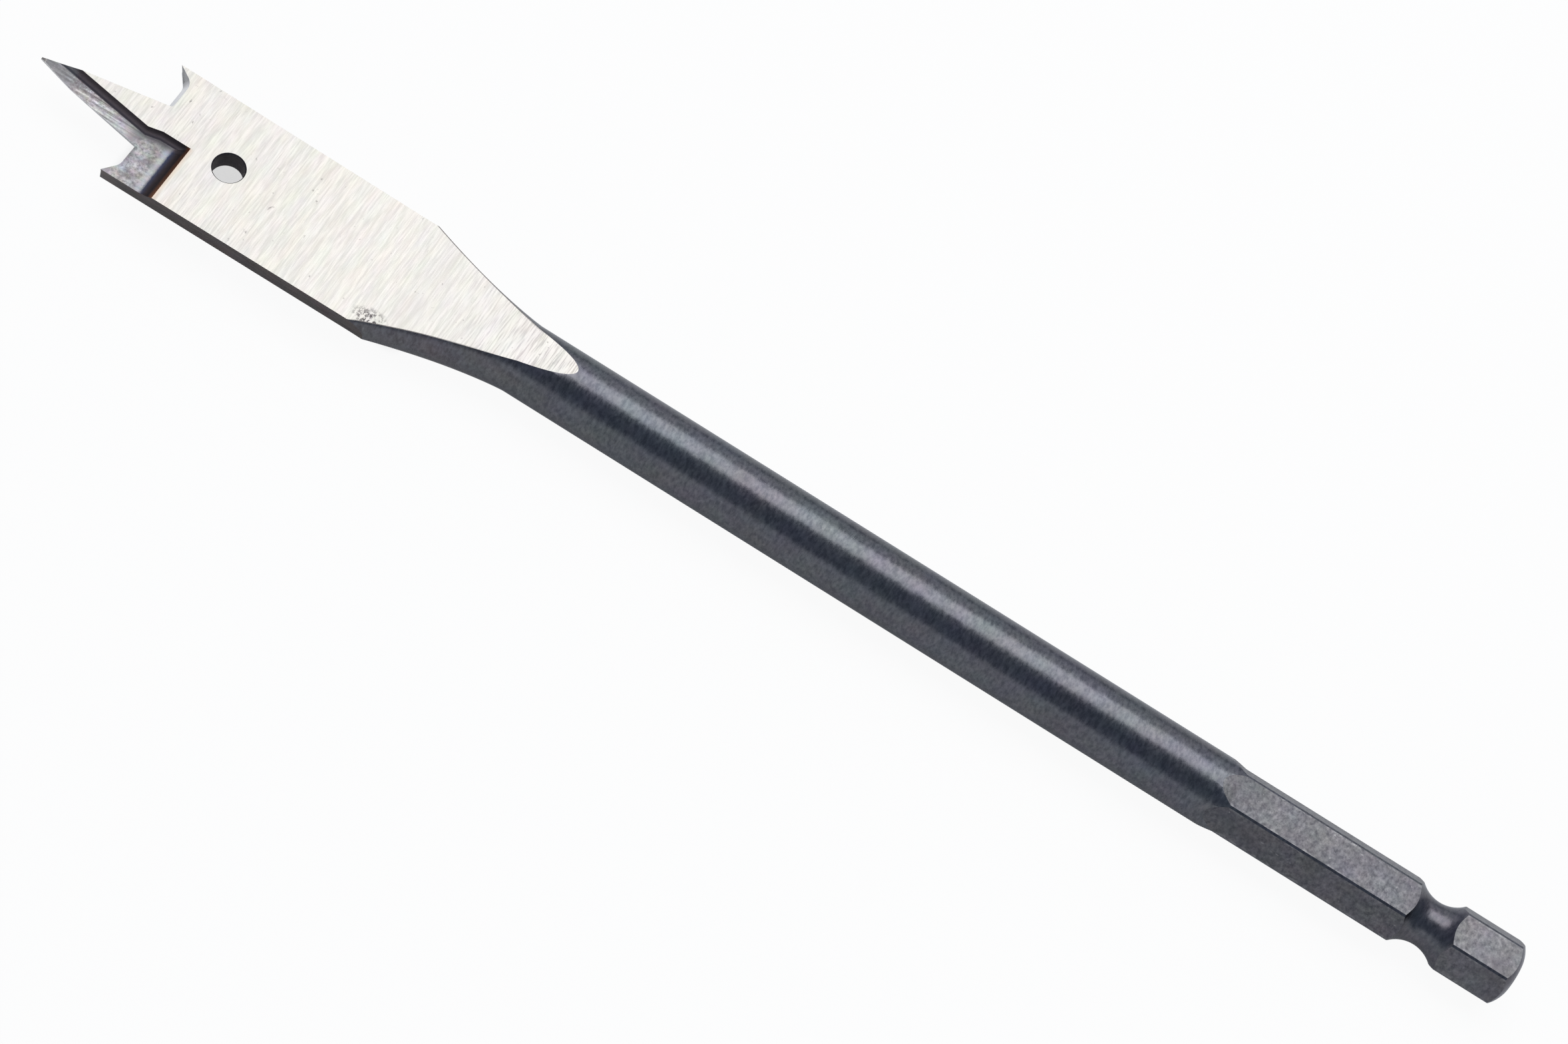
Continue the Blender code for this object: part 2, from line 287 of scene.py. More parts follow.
class TurnedCopies:
    """Geometry Nodes tree that repeats a cutter evenly around the bit's axis."""

    GEOMETRY = "Cutter"
    COUNT = "Count"
    TURN = "First turn"
    FINISH = "Finish"

    def __init__(self) -> None:
        """Builds the tree once, with named inputs for the count, the first turn and the finish."""
        self.tree = bpy.data.node_groups.new("turned_copies", "GeometryNodeTree")
        face = self.tree.interface
        names = (self.GEOMETRY, self.COUNT, self.TURN, self.FINISH)
        for name, kind in zip(names, ("Geometry", "Int", "Float", "Material")):
            face.new_socket(name, in_out="INPUT", socket_type=f"NodeSocket{kind}")
        face.new_socket("Cutters", in_out="OUTPUT", socket_type="NodeSocketGeometry")
        nodes = Nodes(self.tree)
        given = nodes.add("NodeGroupInput").outputs
        points = nodes.add("GeometryNodePoints", Count=given[self.COUNT]).outputs[0]
        step = nodes.math("DIVIDE", 2 * math.pi, given[self.COUNT])
        index = nodes.add("GeometryNodeInputIndex").outputs[0]
        angle = nodes.math("MULTIPLY_ADD", index, step, given[self.TURN])
        turn = nodes.add("ShaderNodeCombineXYZ", X=angle).outputs[0]
        where = {"Points": points, "Instance": given[self.GEOMETRY], "Rotation": turn}
        spread = nodes.add("GeometryNodeInstanceOnPoints", **where).outputs[0]
        real = nodes.add("GeometryNodeRealizeInstances", Geometry=spread).outputs[0]
        dress = nodes.add("GeometryNodeSetMaterial", Geometry=real, Material=given[self.FINISH])
        nodes.add("NodeGroupOutput", Cutters=dress.outputs[0])

    def spread(self, cutter: Object, count: int, first_turn: float) -> None:
        """Repeats a cutter in its own finish and leaves the result as its plain mesh.

        Args:
            cutter: The object that holds one cutter.
            count: How many copies stand around the axis.
            first_turn: Turn of the first copy about the axis.
        """
        modifier = cutter.modifiers.new("turned_copies", "NODES")
        modifier.node_group = self.tree
        named = {item.name: item.identifier for item in self.tree.interface.items_tree}
        modifier[named[self.COUNT]] = count
        modifier[named[self.TURN]] = first_turn
        modifier[named[self.FINISH]] = cutter.data.materials[0]
        graph = bpy.context.evaluated_depsgraph_get()
        mesh = bpy.data.meshes.new_from_object(cutter.evaluated_get(graph))
        cutter.modifiers.clear()
        cutter.data = mesh


@dataclass(frozen=True)
class ForgedBlank:
    """Round bar whose point end is forged into a flat paddle."""

    length: float = 0.1651
    shank_diameter: float = 0.00719
    width: float = 0.0154
    thickness: float = 0.0055
    side_power: float = 4.0
    squaring_power: float = 8.0
    turn: float = math.radians(6.4)
    shoulder_from_point: float = 0.0385
    taper_length: float = 0.0160
    taper_power: float = 1.5
    fullness: float = 0.5
    fullness_power: float = 4.0

    @property
    def radius(self) -> float:
        """Radius of the round shank."""
        return self.shank_diameter / 2

    @property
    def taper_start(self) -> float:
        """Station where the round bar starts to flatten."""
        return self.length - self.shoulder_from_point - self.taper_length

    def from_point(self, distance: float) -> float:
        """Station on the axis at this distance back from the point."""
        return self.length - distance

    def section(self, station: float, around: int) -> list[Point3]:
        """Makes one ring of the blank.

        Args:
            station: Distance of the ring from the shank end.
            around: Number of points in the ring.

        Returns:
            The ring's points: a circle on the shank, a flat oval with full sides at the blade.
        """
        spread = min(max((station - self.taper_start) / self.taper_length, 0.0), 1.0)
        flat = spread**self.taper_power
        half_width = self.radius + (self.width / 2 - self.radius) * flat
        half_thickness = self.radius + (self.thickness / 2 - self.radius) * flat
        power = 2.0 + self.fullness * (1 - (1 - spread) ** self.fullness_power)
        power += (self.side_power - 2.0 - self.fullness) * spread**self.squaring_power
        ring = []
        for angle in angles(around):
            across, up = math.cos(angle), math.sin(angle)
            stretch = (abs(across) ** power + abs(up) ** power) ** (-1 / power)
            wide, thick = half_width * stretch * across, half_thickness * stretch * up
            y = wide * math.cos(self.turn) + thick * math.sin(self.turn)
            ring.append((station, y, thick * math.cos(self.turn) - wide * math.sin(self.turn)))
        return ring

    def mesh(self, fine: Fineness) -> Mesh:
        """Makes the blank's mesh.

        Args:
            fine: How finely it is divided.

        Returns:
            The closed mesh.
        """
        pitches = math.ceil(self.taper_start / fine.shank_pitch)
        stations = [self.taper_start * i / pitches for i in range(pitches)]
        for i in range(fine.taper_stations + 1):
            stations.append(self.taper_start + self.taper_length * i / fine.taper_stations)
        stations.append(self.length)
        rings = [self.section(station, fine.around) for station in stations]
        return skin(rings)


@dataclass(frozen=True)
class Cut:
    """What every group of cuts shares: the blank that it is made in, and how finely."""

    blank: ForgedBlank
    fine: Fineness


@dataclass(frozen=True)
class DriveEnd(Cut):
    """Hexagonal drive end with its locking groove and its rounded end edge."""

    across_flats: float = 0.00635
    length: float = 0.0314
    run_out_angle: float = math.radians(13.5)
    groove_from_end: float = 0.00945
    groove_width: float = 0.0052
    groove_core: float = 0.0047
    end_face_diameter: float = 0.0044
    end_round_length: float = 0.0009
    end_round_bulge: float = 0.0001

    def flat(self) -> Mesh:
        """Makes the cutter of the flat that faces +Z, which ramps out to the round bar.

        Returns:
            The cutter's mesh.
        """
        reach = self.fine.overshoot
        low, top = self.across_flats / 2, self.blank.radius + reach
        ramp = (top - low) / math.tan(self.run_out_angle)
        outline = [(-reach, low), (self.length, low), (self.length + ramp, top), (-reach, top)]
        return swept(outline, top)

    def groove(self) -> Mesh:
        """Makes the round-nosed ring that cuts the locking groove.

        Returns:
            The cutter's mesh.
        """
        core, steps = self.groove_core / 2, self.fine.arc_steps
        depth = self.blank.radius - core
        nose = (depth**2 + (self.groove_width / 2) ** 2) / (2 * depth)
        sweep = math.acos((core + nose - self.blank.radius - self.fine.overshoot) / nose)
        profile = []
        for i in range(2 * steps + 1):
            angle = sweep * (i / steps - 1)
            station = self.groove_from_end + nose * math.sin(angle)
            profile.append((station, core + nose - nose * math.cos(angle)))
        return turned(profile, self.fine.around)

    def end_round(self) -> Mesh:
        """Makes the ring that rounds the end edge, from the flat end face out to the shank.

        Returns:
            The cutter's mesh.
        """
        radius, reach, steps = self.blank.radius, self.fine.overshoot, self.fine.arc_steps
        inner = self.end_face_diameter / 2
        chord = Vector((self.end_round_length, radius - inner))
        bend = ((chord.length / 2) ** 2 + self.end_round_bulge**2) / (2 * self.end_round_bulge)
        half_sweep = math.asin(chord.length / 2 / bend)
        inward = Vector((chord.y, -chord.x)).normalized()
        middle = Vector((0.0, inner)) + chord / 2 + inward * (bend - self.end_round_bulge)
        facing = math.atan2(-inward.y, -inward.x)
        profile = []
        for i in range(steps + 1):
            angle = facing + half_sweep * (1 - 2 * i / steps)
            profile.append((middle.x + bend * math.cos(angle), middle.y + bend * math.sin(angle)))
        slope = (profile[-1][0] - profile[-2][0]) / (profile[-1][1] - profile[-2][1])
        outer = radius + reach
        profile += [(self.end_round_length + slope * reach, outer), (-reach, outer)]
        return turned([(-reach, inner - reach), *profile], self.fine.around)


@dataclass(frozen=True)
class Blade(Cut):
    """Ground blade: its two faces with their run-outs, its sides and its pull hole."""

    width: float = 0.0144
    thickness: float = 0.0024
    side_relief_angle: float = math.radians(7)
    side_taper_angle: float = math.radians(0.25)
    ramp_from_point: float = 0.0385
    end_from_point: float = 0.0599
    blend_length: float = 0.0050
    hole_diameter: float = 0.0032
    hole_from_point: float = 0.0211
    hole_chamfer: float = 0.0001

    @property
    def half_width(self) -> float:
        """Distance from the axis to the blade's widest edge."""
        return self.width / 2

    @property
    def half_thickness(self) -> float:
        """Distance from the axis to a ground face."""
        return self.thickness / 2

    @property
    def side_relief(self) -> float:
        """How far a side leans in over the blade's thickness."""
        return self.thickness * math.tan(self.side_relief_angle)

    def face(self, tip_flat: float, facet_length: float) -> Mesh:
        """Makes the cutter over the front face: point facet, flat blade and the wheel's run-out.

        Args:
            tip_flat: Thickness left at the very point.
            facet_length: Length of the facet that sharpens the point.

        Returns:
            The cutter's mesh.
        """
        blank, past, steps = self.blank, self.fine.overshoot, self.fine.arc_steps
        top = blank.radius + 2 * past
        ramp_start = blank.from_point(self.ramp_from_point)
        run = self.end_from_point - self.ramp_from_point - self.blend_length / 2
        slope = (blank.radius - self.half_thickness) / run
        facet_slope = (self.half_thickness - tip_flat / 2) / facet_length
        outline = [
            (blank.length + past, tip_flat / 2 - facet_slope * past),
            (blank.from_point(facet_length), self.half_thickness),
        ]
        for i in range(steps + 1):
            along = self.blend_length * i / steps
            rise = slope * along**2 / (2 * self.blend_length)
            outline.append((ramp_start - along, self.half_thickness + rise))
        past_end = (top - blank.radius) / slope
        outline.append((blank.from_point(self.end_from_point) - past_end, top))
        outline.append((blank.length + past, top))
        return swept(outline, blank.width)

    def side(self, spur_from_point: float) -> Mesh:
        """Makes the cutter of the +Y side, which leans in towards the back face and the shank.

        Args:
            spur_from_point: Where the blade is widest, back from the point.

        Returns:
            The cutter's mesh.
        """
        blank = self.blank
        tall, outer, lean = blank.thickness, blank.width, math.tan(self.side_relief_angle)
        rings = []
        for station in (blank.taper_start, blank.length + self.fine.overshoot):
            behind = blank.from_point(spur_from_point) - station
            edge = self.half_width - behind * math.tan(self.side_taper_angle)
            upper = edge + (tall - self.half_thickness) * lean
            lower = edge - (tall + self.half_thickness) * lean
            corners = ((upper, tall), (outer, tall), (outer, -tall), (lower, -tall))
            rings.append([(station, y, z) for y, z in corners])
        return skin(rings)

    def hole(self) -> Mesh:
        """Makes the cutter of the pull hole, with its edges broken.

        Returns:
            The cutter's mesh.
        """
        radius, high = self.hole_diameter / 2, self.blank.thickness
        wide = radius + self.hole_chamfer
        inner = self.half_thickness - self.hole_chamfer
        levels = [(wide, high), (wide, self.half_thickness), (radius, inner)]
        levels += [(radius, -inner), (wide, -self.half_thickness), (wide, -high)]
        centre = self.blank.from_point(self.hole_from_point)
        rings = []
        for reach, z in levels:
            turn = angles(self.fine.around)
            rings.append([(centre + reach * math.cos(a), reach * math.sin(a), z) for a in turn])
        return skin(rings)


@dataclass(frozen=True)
class CuttingHead(Cut):
    """Centre point, relieved lips and spurs, and the flutes that hook them."""

    blade: Blade
    point_flat: float = 0.00018
    facet_length: float = 0.0041
    facet_half_width: float = 0.00138
    root_half_width: float = 0.0028
    relief_at_facet: float = 0.0008
    relief_at_root: float = 0.0004
    lip_from_point: float = 0.0125
    lip_relief: float = 0.0007
    spur_from_point: float = 0.0113
    spur_angle: float = math.radians(36)
    spur_relieved_angle: float = math.radians(57)
    spur_fillet: float = 0.0014
    root_fillet: float = 0.0004
    flute_end_from_point: float = 0.01705
    flute_end_run: float = 0.0018
    flute_wall_run: float = 0.0006
    flute_depth: float = 0.0010
    flute_rise_per_length: float = 0.055
    flute_wall_at_facet: float = -0.0006
    flute_wall_at_lip: float = 0.0008
    flute_wall_bend_from_lip: float = 0.0015
    flute_wall_offset: float = 0.00042
    flute_wall_angle: float = math.radians(65)

    @property
    def facet_root(self) -> float:
        """Station where the facet at the tip starts."""
        return self.blank.from_point(self.facet_length)

    @property
    def lip(self) -> float:
        """Station of the lips' cutting edges."""
        return self.blank.from_point(self.lip_from_point)

    @property
    def flute_end(self) -> float:
        """Station of the rim where a flute ends."""
        return self.blank.from_point(self.flute_end_from_point)

    @property
    def flute_level(self) -> float:
        """Distance from the bit's middle plane to a flute's floor, at the axis."""
        return self.blade.half_thickness - self.flute_depth

    def outline(self, relief: float, side: float, spur_angle: float, widths: Point2) -> list[Point2]:
        """Makes the outline between the centre point and one spur.

        Args:
            relief: How far the lip falls back from its cutting edge.
            side: Distance from the axis to the spur's outer edge.
            spur_angle: Slope of the spur's inner edge.
            widths: Half width of the point at its facet and at its root.

        Returns:
            Points (x, y): point, root fillet, lip, spur fillet, spur tip and back past the point.
        """
        blank, overshoot, steps = self.blank, self.fine.overshoot, self.fine.arc_steps
        lip = blank.from_point(self.lip_from_point + relief)
        facet = (self.facet_root, widths[0])
        root = (lip, widths[1])
        tip = (blank.from_point(self.spur_from_point), side)
        foot = (lip, side - (tip[0] - lip) / math.tan(spur_angle))
        past = (tip[0] + overshoot * math.tan(spur_angle), side + overshoot)
        beyond = blank.length + overshoot
        return [
            (beyond, self.point_flat / 2),
            (blank.length, self.point_flat / 2),
            facet,
            *fillet(facet, root, foot, self.root_fillet, steps),
            *fillet(root, foot, tip, self.spur_fillet, steps),
            tip,
            past,
            (beyond, past[1]),
        ]

    def notch(self) -> Mesh:
        """Makes the cutter of the notch between the point and the +Y spur, with its relief.

        Returns:
            The cutter's mesh.
        """
        blade, high = self.blade, self.blank.thickness
        widths = (self.facet_half_width, self.root_half_width)
        cutting = self.outline(0.0, blade.half_width, self.spur_angle, widths)
        widths = (widths[0] - self.relief_at_facet, widths[1] - self.relief_at_root)
        inner = blade.half_width - blade.side_relief
        relieved = self.outline(self.lip_relief, inner, self.spur_relieved_angle, widths)
        levels = [(high, cutting), (self.flute_level, cutting)]
        levels += [(-blade.half_thickness, relieved), (-high, relieved)]
        return skin([[(x, y, z) for x, y in line] for z, line in levels])

    def flute(self) -> Mesh:
        """Makes the cutter of the front flute, with a rising floor and a hollow wall.

        Returns:
            The cutter's mesh.
        """
        past_tip = self.blank.length + self.fine.overshoot
        start, lip, end = self.facet_root, self.lip, self.flute_end
        lean = (self.flute_wall_at_lip - self.flute_wall_at_facet) / (start - lip)
        wall = [
            (past_tip, self.flute_wall_at_facet - lean * (past_tip - start)),
            (lip, self.flute_wall_at_lip),
            (lip - self.flute_wall_bend_from_lip, self.flute_wall_offset),
            (end, self.flute_wall_offset),
        ]
        face = [*wall, (end, self.blank.width), (past_tip, self.blank.width)]
        runs = [(0.0, self.flute_wall_run)] * (len(wall) - 1)
        runs += [(self.flute_end_run, self.flute_wall_run), (self.flute_end_run, 0.0), (0.0, 0.0)]
        steps, steep = self.fine.arc_steps, self.flute_wall_angle
        rings = []
        for i in range(steps + 2):
            angle = steep * min(i / steps, 1.0)
            above = self.blank.thickness if i > steps else 0.0
            out = math.sin(angle) / math.sin(steep)
            up = (1 - math.cos(angle)) / (1 - math.cos(steep))
            ring = []
            for (x, y), (run_x, run_y) in zip(face, runs):
                across = y + run_y * (1 - out)
                floor = self.flute_depth - self.flute_rise_per_length * max(across, 0.0)
                z = self.blade.half_thickness - floor * (1 - up) + above
                ring.append((x + run_x * (1 - out), across, z))
            rings.append(ring)
        return skin(rings)


@dataclass(frozen=True)
class Pattern:
    """Noise in the bit's own frame: its cells per metre, its place, its octaves and its roughness."""

    scale: Point3
    place: Point3 = (0.0, 0.0, 0.0)
    detail: float = 2.0
    rough: float = 0.5


class SteelNodes(Nodes):
    """Node tree of one of the bit's materials, which reads the bit's own frame."""

    def __init__(self, name: str, rest: RestPose) -> None:
        """Starts a metallic material and finds the bit's own coordinates in it.

        Args:
            name: Name of the material.
            rest: Where the bit lies.
        """
        self.material = bpy.data.materials.new(name)
        self.material.use_nodes = True
        super().__init__(self.material.node_tree)
        self.shader = self.tree.nodes["Principled BSDF"]
        self.fill(self.shader, Metallic=1.0)
        given = self.add("ShaderNodeTexCoord").outputs["Object"]
        self.own = self.add("ShaderNodeMapping", Vector=given, Location=-rest.place()).outputs[0]
        self.x, self.y, self.z = self.add("ShaderNodeSeparateXYZ", Vector=self.own).outputs
        self.grains: dict[Pattern, Socket] = {}

    @cached_property
    def outward(self) -> Socket:
        """Distance from the axis towards the spur that the nearer face cuts with."""
        return self.product(self.y, self.math("SIGN", self.z))

    def along(self, station: float, reach: Point2, to_low: float = 0.0, to_high: float = 1.0) -> Socket:
        """Returns a span along the bit, whose two ends are given from a station."""
        return self.span(self.x, station + reach[0], station + reach[1], to_low, to_high)

    def noise(self, pattern: Pattern) -> bpy.types.NodeOutputs:
        """Adds a Noise texture that is stretched along the bit.

        Args:
            pattern: What the noise is like.

        Returns:
            The texture's outputs.
        """
        where = {"Vector": self.own, "Scale": pattern.scale, "Location": pattern.place}
        look = {"Scale": 1.0, "Detail": pattern.detail, "Roughness": pattern.rough}
        place = self.add("ShaderNodeMapping", **where).outputs[0]
        return self.add("ShaderNodeTexNoise", Vector=place, **look).outputs

    def grain(self, pattern: Pattern) -> Socket:
        """Returns the value of a noise, which is added once and is about 0.5 on average."""
        if pattern not in self.grains:
            self.grains[pattern] = self.noise(pattern)["Fac"]
        return self.grains[pattern]

    def blend(self, factor: object, first: object, second: object, mode: str = "MIX") -> Socket:
        """Mixes two colours.

        Args:
            factor: Share of the second colour.
            first: The first colour, or a socket.
            second: The second colour, or a socket.
            mode: The node's way to mix.

        Returns:
            The mixed colour.
        """
        node = self.add("ShaderNodeMix", data_type="RGBA", blend_type=mode)
        for index, value in ((0, factor), (6, first), (7, second)):
            self.put(node.inputs[index], value)
        return node.outputs[2]

    def layered(self, colour: object, *layers: tuple[object, object]) -> Socket:
        """Lays colours over a colour.

        Args:
            colour: The lowest colour, or a socket.
            layers: Mask and colour of each layer, from the lowest up.

        Returns:
            The colour that shows.
        """
        for mask, over in layers:
            colour = self.blend(mask, colour, over)
        return colour

    def tinted(self, colour: Socket, pattern: Pattern, share: float) -> Socket:
        """Returns a colour whose hue shifts a little in patches, as temper colours do."""
        return self.blend(share, colour, self.noise(pattern)["Color"], "OVERLAY")

    def finish(self, colour: object, roughness: object, height: object, relief: float) -> None:
        """Gives the surface its look.

        Args:
            colour: Base colour, or a socket.
            roughness: Roughness, or a socket.
            height: Fine relief of the surface, from 0 to 1.
            relief: Depth of that relief.
        """
        bump = self.add("ShaderNodeBump", Strength=1.0, Distance=relief, Height=height)
        self.fill(self.shader, Base_Color=colour, Roughness=roughness, Normal=bump.outputs[0])


class SteelFinish(ABC):
    """A finish of the bit, which is made into one material."""

    def material(self, name: str, rest: RestPose) -> bpy.types.Material:
        """Makes the material.

        Args:
            name: Name of the material.
            rest: Where the bit lies.

        Returns:
            The material.
        """
        nodes = SteelNodes(name, rest)
        self.dress(nodes)
        return nodes.material

    @abstractmethod
    def dress(self, nodes: SteelNodes) -> None:
        """Writes the finish into a new material's nodes."""


@dataclass(frozen=True)
class GroundFinish(SteelFinish):
    """Bright steel with grinding lines across the blade, faint tints, specks and a scaled rim.

    The pits are a worn patch at one corner of the blank's shoulder. Their place and reach are
    given along the bit and across it.
    """

    head: CuttingHead
    light: Colour = (0.728, 0.694, 0.632)
    ramp: Colour = (0.79, 0.755, 0.69)
    dull: Colour = (0.64, 0.61, 0.56)
    scale: Colour = (0.10, 0.085, 0.085)
    heat: Colour = (0.62, 0.43, 0.30)
    wear_from_lip: Point2 = (-0.028, -0.004)
    face_from_lip: Point2 = (-0.033, -0.026)
    streaks_from_lip: Point2 = (-0.047, -0.033)
    heat_before_end: Point2 = (-0.0005, 0.0)
    heat_past_end: Point2 = (0.0, 0.0001)
    heat_from_axis: Point2 = (0.0003, 0.0006)
    tip_reach: Point2 = (-0.0009, -0.0003)
    pits_at: Point2 = (0.1245, 0.0059)
    pits_reach: Point2 = (0.0017, 0.0011)
    roughness: float = 0.58
    relief: float = 0.0000028
    tint: float = 0.10
    coarse: Pattern = Pattern((3400.0, 210.0, 210.0))
    lines: Pattern = Pattern((6400.0, 420.0, 420.0), (3.0, 7.0, 0.0), 2.0, 0.6)
    fine: Pattern = Pattern((9500.0, 900.0, 900.0), (5.0, 2.0, 4.0), 1.0, 0.6)
    patches: Pattern = Pattern((420.0, 260.0, 260.0), (11.0, 0.0, 5.0), 3.0)
    hues: Pattern = Pattern((900.0, 330.0, 330.0), (2.0, 9.0, 1.0))
    specks: Pattern = Pattern((1500.0, 1150.0, 1150.0), (8.0, 3.0, 6.0), 2.0, 0.6)
    pits: Pattern = Pattern((2300.0, 1600.0, 1600.0), (1.0, 5.0, 2.0), 3.0, 0.7)

    def rim(self, nodes: SteelNodes) -> Socket:
        """Finds the thin strip where the grinding runs out at the blank's scaled sides.

        Args:
            nodes: The material's nodes.

        Returns:
            The strip's mask, from the same rule as the blank's sections.
        """
        blank = self.head.blank
        spread = nodes.span(nodes.x, blank.taper_start, blank.taper_start + blank.taper_length)
        flat = nodes.math("POWER", spread, blank.taper_power)
        round_left = nodes.math("POWER", nodes.math("SUBTRACT", 1.0, spread), blank.fullness_power)
        power = nodes.math("MULTIPLY_ADD", round_left, -blank.fullness, 2.0 + blank.fullness)
        squared = nodes.math("POWER", spread, blank.squaring_power)
        power = nodes.math("MULTIPLY_ADD", squared, blank.side_power - 2.0 - blank.fullness, power)
        cos, sin = math.cos(blank.turn), math.sin(blank.turn)
        shares = []
        for size, by_z, by_y in ((blank.width, -sin, cos), (blank.thickness, cos, sin)):
            half = nodes.math("MULTIPLY_ADD", flat, size / 2 - blank.radius, blank.radius)
            own = nodes.math("MULTIPLY_ADD", nodes.z, by_z, nodes.product(nodes.y, by_y))
            shares.append(nodes.math("DIVIDE", nodes.math("ABSOLUTE", own), half))
        reached = nodes.math("ADD", *(nodes.math("POWER", share, power) for share in shares))
        before = nodes.span(spread, 0.93, 0.97, 1.0, 0.0)
        at_side = nodes.product(nodes.span(shares[0], 0.60, 0.80), before)
        return nodes.product(nodes.span(reached, 0.950, 0.972, 0.0, 0.85), at_side)

    def pitted(self, nodes: SteelNodes) -> Socket:
        """Finds the worn patch of pits.

        Args:
            nodes: The material's nodes.

        Returns:
            The pits' mask.
        """
        squares = []
        for place, at, reach in zip((nodes.x, nodes.outward), self.pits_at, self.pits_reach):
            share = nodes.math("DIVIDE", nodes.math("SUBTRACT", place, at), reach)
            squares.append(nodes.product(share, share))
        near = nodes.span(nodes.math("ADD", *squares), 0.0, 1.6, 1.0, 0.0)
        return nodes.product(near, nodes.span(nodes.grain(self.pits), 0.47, 0.56))

    def heated(self, nodes: SteelNodes) -> Socket:
        """Finds the narrow heat colours in front of a flute's rim.

        Args:
            nodes: The material's nodes.

        Returns:
            Their mask.
        """
        end = self.head.flute_end
        before = nodes.along(end, self.heat_before_end, 0.0, 0.5)
        beside = nodes.product(before, nodes.span(nodes.outward, *self.heat_from_axis))
        return nodes.product(beside, nodes.along(end, self.heat_past_end, 1.0, 0.0))

    def ground(self, nodes: SteelNodes) -> Socket:
        """Colours the ground steel, which is lighter on the ramp and streaked at its run-out.

        Args:
            nodes: The material's nodes.

        Returns:
            The colour.
        """
        lip, lines = self.head.lip, nodes.grain(self.lines)
        patches = nodes.span(nodes.grain(self.patches), 0.38, 0.62, 0.1)
        worn = nodes.product(nodes.product(nodes.span(lines, 0.44, 0.62), patches), 0.30)
        coarse = nodes.span(nodes.grain(self.coarse), 0.40, 0.66)
        dark = nodes.math("MULTIPLY_ADD", coarse, 0.20, worn)
        dark = nodes.product(dark, nodes.along(lip, self.wear_from_lip, 0.45))
        run_out = nodes.along(lip, self.streaks_from_lip, 0.26, 0.0)
        streaks = nodes.product(run_out, nodes.span(lines, 0.48, 0.62))
        on_face = nodes.along(lip, self.face_from_lip)
        return nodes.layered(self.ramp, (on_face, self.light), (dark, self.dull), (streaks, self.scale))

    def dress(self, nodes: SteelNodes) -> None:
        """Grinds the steel, then tints it, wears it and scales its rims."""
        colour = nodes.tinted(self.ground(nodes), self.hues, self.tint)
        specks = nodes.span(nodes.grain(self.specks), 0.70, 0.80, 0.0, 0.55)
        scaled = nodes.math("MAXIMUM", self.pitted(nodes), self.rim(nodes))
        tip = nodes.along(self.head.blank.length, self.tip_reach, 0.0, 0.75)
        layers = [(mask, self.scale) for mask in (specks, scaled, tip)]
        colour = nodes.layered(colour, *layers, (self.heated(nodes), self.heat))
        lines = nodes.grain(self.lines)
        rough = nodes.span(lines, 0.35, 0.65, self.roughness - 0.03, self.roughness + 0.05)
        height = nodes.math("MULTIPLY_ADD", nodes.grain(self.fine), 0.3, nodes.grain(self.coarse))
        nodes.finish(colour, rough, nodes.math("MULTIPLY_ADD", lines, 0.6, height), self.relief)


@dataclass(frozen=True)
class OxideFinish(SteelFinish):
    """Blackened steel with a circumferential grain, faint blue and violet tints and light wear."""

    dark: Colour = (0.088, 0.091, 0.103)
    worn: Colour = (0.23, 0.23, 0.24)
    warm: Colour = (0.100, 0.092, 0.097)
    forging: Point2 = (0.1085, 0.1145)
    roughness: float = 0.27
    relief: float = 0.0000130
    wear: float = 0.5
    tint: float = 0.12
    marks: Pattern = Pattern((2200.0, 850.0, 850.0), rough=0.6)
    mottle: Pattern = Pattern((3000.0, 1500.0, 1500.0), (2.0, 6.0, 1.0), 4.0, 0.62)
    scuffs: Pattern = Pattern((330.0, 2600.0, 2600.0), (7.0, 1.0, 3.0), 3.0, 0.7)
    hues: Pattern = Pattern((260.0, 330.0, 330.0), (5.0, 5.0, 5.0))

    def dress(self, nodes: SteelNodes) -> None:
        """Blackens the steel, warmer where it was forged, then mottles and scuffs it."""
        mottle = nodes.grain(self.mottle)
        forged = nodes.along(0.0, self.forging, 0.0, 0.8)
        mottled = nodes.span(mottle, 0.36, 0.66, 0.0, 0.48)
        dull = nodes.layered(self.dark, (forged, self.warm), (mottled, self.worn))
        dull = nodes.tinted(dull, self.hues, self.tint)
        scuffs = nodes.span(nodes.grain(self.scuffs), 0.62, 0.76, 0.0, self.wear)
        colour = nodes.blend(nodes.product(scuffs, nodes.span(mottle, 0.45, 0.65)), dull, self.worn)
        rough = nodes.span(mottle, 0.30, 0.70, self.roughness - 0.03, self.roughness + 0.06)
        height = nodes.math("MULTIPLY_ADD", mottle, 0.8, nodes.grain(self.marks))
        nodes.finish(colour, rough, height, self.relief)


